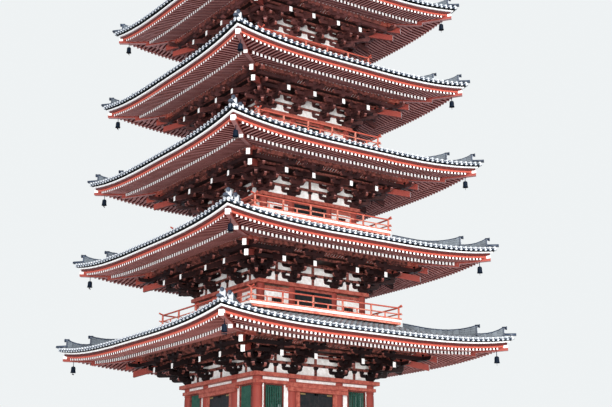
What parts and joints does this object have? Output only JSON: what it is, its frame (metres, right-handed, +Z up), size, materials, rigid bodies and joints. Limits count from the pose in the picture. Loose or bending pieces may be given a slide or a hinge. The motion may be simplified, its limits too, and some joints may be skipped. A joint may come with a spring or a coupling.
{
  "type": "scale model at 1:2 of a Japanese five-storey temple pagoda",
  "caption": "Japanese storeyed temple pagoda at 1:2, vermilion timber, white plaster, tiled roofs, balconies and bronze finial; its ground storey doors swing.",
  "frame": {"origin": "centre of the underside of the stone podium, on the ground", "axes": "+Z up along the tower's axis, -Y the front, the face on the right in the picture, -X the face on the left in it"},
  "size_m": [10.424, 10.424, 24.0866],
  "materials": {
    "stone": "dressed, dull",
    "vermilion_wall": "vermilion paint, satin",
    "vermilion_timber": "vermilion paint, satin",
    "white_board": "white paint, matt",
    "plaster_wall": "lime plaster, matt",
    "shaded_red_timber": "dark vermilion paint, satin",
    "grey_tile": "silver-grey tile, satin",
    "door_paint": "near-black paint, satin",
    "bronze": "blue-green patina, satin"
  },
  "bodies": {
    "tower": {"podium": "stone", "steps_front": "stone", "steps_right": "stone", "steps_back": "stone", "steps_left": "stone", "ground_wall_front_right": "vermilion_wall", "ground_wall_back_right": "vermilion_wall", "ground_wall_back_left": "vermilion_wall", "ground_wall_front_left": "vermilion_wall", "ground_crown": "vermilion_timber", "brackets_1": "shaded_red_timber", "eaves_1": "shaded_red_timber", "roof_1": "grey_tile", "balcony_2": "white_board", "railing_2": "vermilion_timber", "walls_2": "plaster_wall", "brackets_2": "shaded_red_timber", "eaves_2": "shaded_red_timber", "roof_2": "grey_tile", "balcony_3": "white_board", "railing_3": "vermilion_timber", "walls_3": "plaster_wall", "brackets_3": "shaded_red_timber", "eaves_3": "shaded_red_timber", "roof_3": "grey_tile", "balcony_4": "white_board", "railing_4": "vermilion_timber", "walls_4": "plaster_wall", "brackets_4": "shaded_red_timber", "eaves_4": "shaded_red_timber", "roof_4": "grey_tile", "balcony_5": "white_board", "railing_5": "vermilion_timber", "walls_5": "plaster_wall", "brackets_5": "shaded_red_timber", "eaves_5": "shaded_red_timber", "roof_5": "grey_tile", "dew_basin": "bronze", "bowl_and_lotus": "bronze", "nine_rings": "bronze", "water_flame": "bronze", "wheel_and_jewel": "bronze"},
    "leaf_front_a": {"door_front_a": "door_paint"},
    "leaf_front_b": {"door_front_b": "door_paint"},
    "leaf_right_a": {"door_right_a": "door_paint"},
    "leaf_right_b": {"door_right_b": "door_paint"},
    "leaf_back_a": {"door_back_a": "door_paint"},
    "leaf_back_b": {"door_back_b": "door_paint"},
    "leaf_left_a": {"door_left_a": "door_paint"},
    "leaf_left_b": {"door_left_b": "door_paint"}
  },
  "joints": [
    {"name": "front_a_swing", "type": "hinge", "parent": "tower", "child": "leaf_front_a", "pos_m": [0.582, -2.092, 1.56], "axis": [0, 0, 1], "range_deg": [0, 95]},
    {"name": "front_b_swing", "type": "hinge", "parent": "tower", "child": "leaf_front_b", "pos_m": [-0.582, -2.092, 1.56], "axis": [0, 0, -1], "range_deg": [0, 95]},
    {"name": "right_a_swing", "type": "hinge", "parent": "tower", "child": "leaf_right_a", "pos_m": [2.092, 0.582, 1.56], "axis": [0, 0, 1], "range_deg": [0, 95]},
    {"name": "right_b_swing", "type": "hinge", "parent": "tower", "child": "leaf_right_b", "pos_m": [2.092, -0.582, 1.56], "axis": [0, 0, -1], "range_deg": [0, 95]},
    {"name": "back_a_swing", "type": "hinge", "parent": "tower", "child": "leaf_back_a", "pos_m": [-0.582, 2.092, 1.56], "axis": [0, 0, 1], "range_deg": [0, 95]},
    {"name": "back_b_swing", "type": "hinge", "parent": "tower", "child": "leaf_back_b", "pos_m": [0.582, 2.092, 1.56], "axis": [0, 0, -1], "range_deg": [0, 95]},
    {"name": "left_a_swing", "type": "hinge", "parent": "tower", "child": "leaf_left_a", "pos_m": [-2.092, -0.582, 1.56], "axis": [0, 0, 1], "range_deg": [0, 95]},
    {"name": "left_b_swing", "type": "hinge", "parent": "tower", "child": "leaf_left_b", "pos_m": [-2.092, 0.582, 1.56], "axis": [0, 0, -1], "range_deg": [0, 95]}
  ]
}
